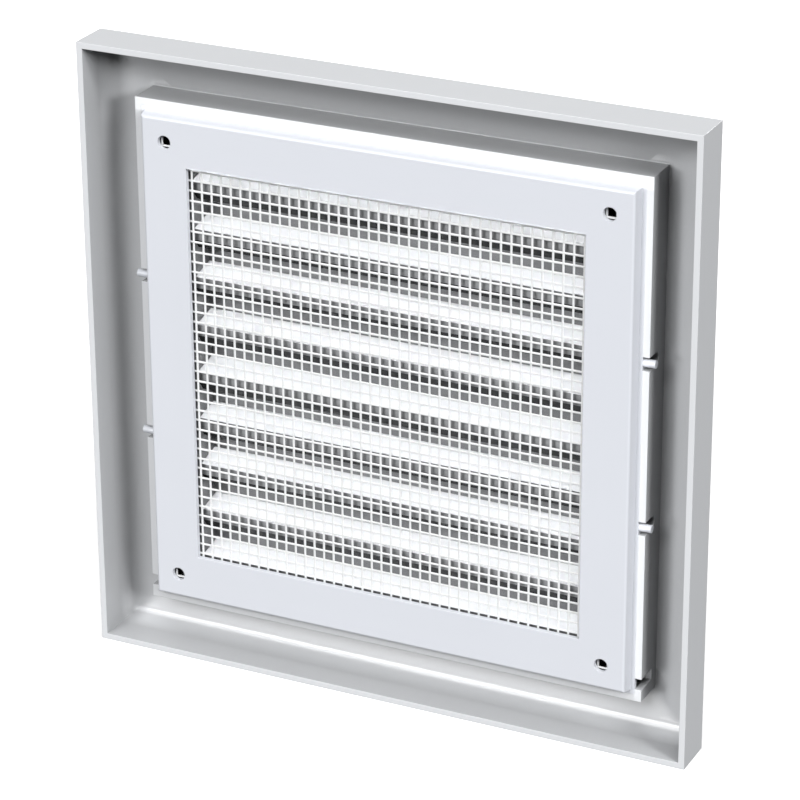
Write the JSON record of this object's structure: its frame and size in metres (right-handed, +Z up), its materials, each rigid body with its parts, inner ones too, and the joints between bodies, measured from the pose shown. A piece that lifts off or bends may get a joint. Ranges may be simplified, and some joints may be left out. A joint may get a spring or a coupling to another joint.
{
  "type": "ventilation grille",
  "caption": "Square louvred ventilation grille with a hollow cover, a screw-on mounting frame nested in its collar and an insect mesh.",
  "frame": {"origin": "centre of the four screw holes, on the rear face of the mounting frame", "axes": "+Y into the wall, +Z up as pictured, +X to the left of someone who looks at the back"},
  "size_m": [0.186, 0.0185, 0.186],
  "materials": {
    "cover_plastic": "satin white ABS",
    "frame_plastic": "satin white ABS",
    "mesh_plastic": "matt white plastic"
  },
  "bodies": {
    "root": {"front_grille": "cover_plastic", "mounting_frame": "frame_plastic", "insect_mesh": "mesh_plastic"}
  },
  "joints": []
}
